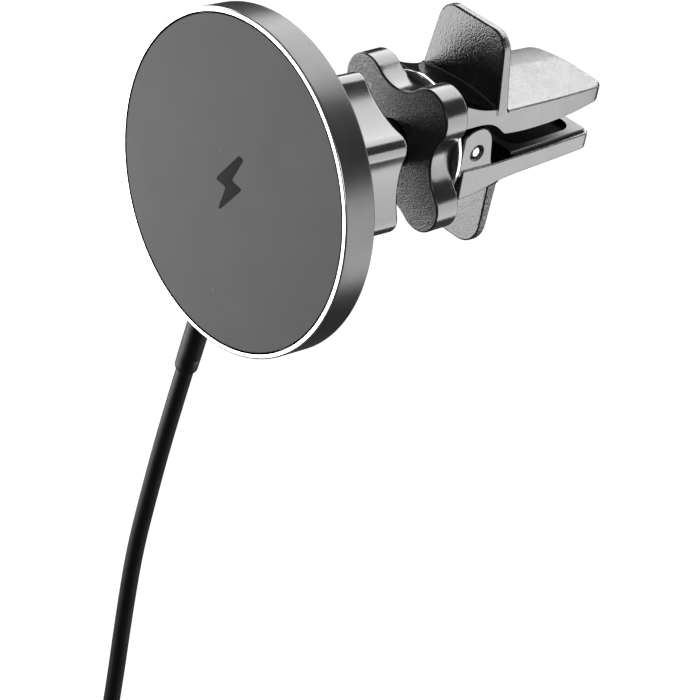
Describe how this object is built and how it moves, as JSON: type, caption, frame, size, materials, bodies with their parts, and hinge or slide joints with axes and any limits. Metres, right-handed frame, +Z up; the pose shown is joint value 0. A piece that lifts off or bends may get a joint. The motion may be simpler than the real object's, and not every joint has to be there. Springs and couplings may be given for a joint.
{
  "type": "car phone mount",
  "caption": "Vent-clip phone mount: round magnetic charging disc on a ball joint with lobed nut, lobed clamping knob, hinged jaws with grip fins, and a hanging cable with plug.",
  "frame": {"origin": "middle of the slot between the two jaws, where the vent blade sits", "axes": "-Y out of the disc towards the phone and the driver, +Y into the vent, +Z up"},
  "size_m": [0.0817, 0.0806, 0.2599],
  "materials": {
    "pad": "soft matt silicone",
    "black_plastic": "moulded",
    "housing_metal": "satin anodised, polished front bevel",
    "magnet": "nickel plated",
    "steel": "bright",
    "copper": "enamelled copper wire",
    "ferrite": "sintered",
    "board": "solder mask",
    "cover_plastic": "fine grain",
    "nut_plastic": "satin gloss",
    "rubber": "soft",
    "nylon": "moulded",
    "ball_plastic": "smooth",
    "knob_plastic": "grained face, satin side",
    "polished_metal": "polished",
    "clip_plastic": "fine grained gloss",
    "cable_rubber": "smooth jacket",
    "tie_strap": "woven hook and loop",
    "plug_plastic": "moulded",
    "plug_metal": "bright"
  },
  "bodies": {
    "clip": {"clip_body": "clip_plastic", "ball_stem": "ball_plastic", "pivot_pin": "steel", "upper_jaw_pad": "rubber", "jaw_spring": "steel"},
    "jaw": {"lower_jaw": "clip_plastic", "lower_jaw_pad": "rubber"},
    "ring": {"thrust_ring": "polished_metal"},
    "knob": {"clamp_knob": "knob_plastic"},
    "cup": {"friction_cup": "rubber"},
    "seat": {"seat_ring": "nylon"},
    "nut": {"ball_nut": "nut_plastic"},
    "head": {"front_pad": "pad", "front_plate": "black_plastic", "housing_ring": "housing_metal", "magnet_segments": "magnet", "magnet_shunt": "steel", "charging_coil": "copper", "ferrite_shield": "ferrite", "circuit_board": "board", "board_components": "black_plastic", "board_screws": "steel", "rear_cover": "cover_plastic", "ball_socket": "black_plastic", "socket_screws": "steel", "cable_boot": "cable_rubber", "cable_lead": "cable_rubber", "cable_coil": "cable_rubber", "cable_tail": "cable_rubber", "cable_tie": "tie_strap", "plug_body": "plug_plastic", "plug_shell": "plug_metal", "plug_tongue": "black_plastic"}
  },
  "joints": [
    {"name": "head_pan", "type": "hinge", "parent": "clip", "child": "cup", "pos_m": [0, -0.0475, -0.0021], "axis": [0, 0, 1], "range_deg": [-17, 17]},
    {"name": "head_tilt", "type": "hinge", "parent": "cup", "child": "seat", "pos_m": [0, -0.0475, -0.0021], "axis": [1, 0, 0], "range_deg": [-14, 21]},
    {"name": "head_roll", "type": "hinge", "parent": "seat", "child": "head", "pos_m": [0, -0.0475, -0.0021], "axis": [0, 1, 0], "range_deg": [-180, 180]},
    {"name": "ball_nut_turn", "type": "hinge", "parent": "head", "child": "nut", "pos_m": [0, -0.0475, -0.0021], "axis": [0, 1, 0], "range_deg": [-90, 0]},
    {"name": "thrust_ring_slide", "type": "slide", "parent": "clip", "child": "ring", "axis": [0.0169, 0.9979, 0.0631], "range_m": [-0.00105, 0.00157]},
    {"name": "knob_turn", "type": "hinge", "parent": "ring", "child": "knob", "pos_m": [0.00035, -0.02704, -0.00081], "axis": [0.0169, 0.9979, 0.0631], "range_deg": [-180, 274]},
    {"name": "jaw_pivot", "type": "hinge", "parent": "clip", "child": "jaw", "pos_m": [0, -0.0175, -0.0008], "axis": [1, 0, 0], "range_deg": [-5.1, 7.7], "deforming": ["jaw_spring"]}
  ],
  "couplings": [
    {"joint": "thrust_ring_slide", "follows": "knob_turn", "m_per_rad": 0.00031831},
    {"joint": "jaw_pivot", "follows": "knob_turn", "ratio": 0.027679}
  ]
}
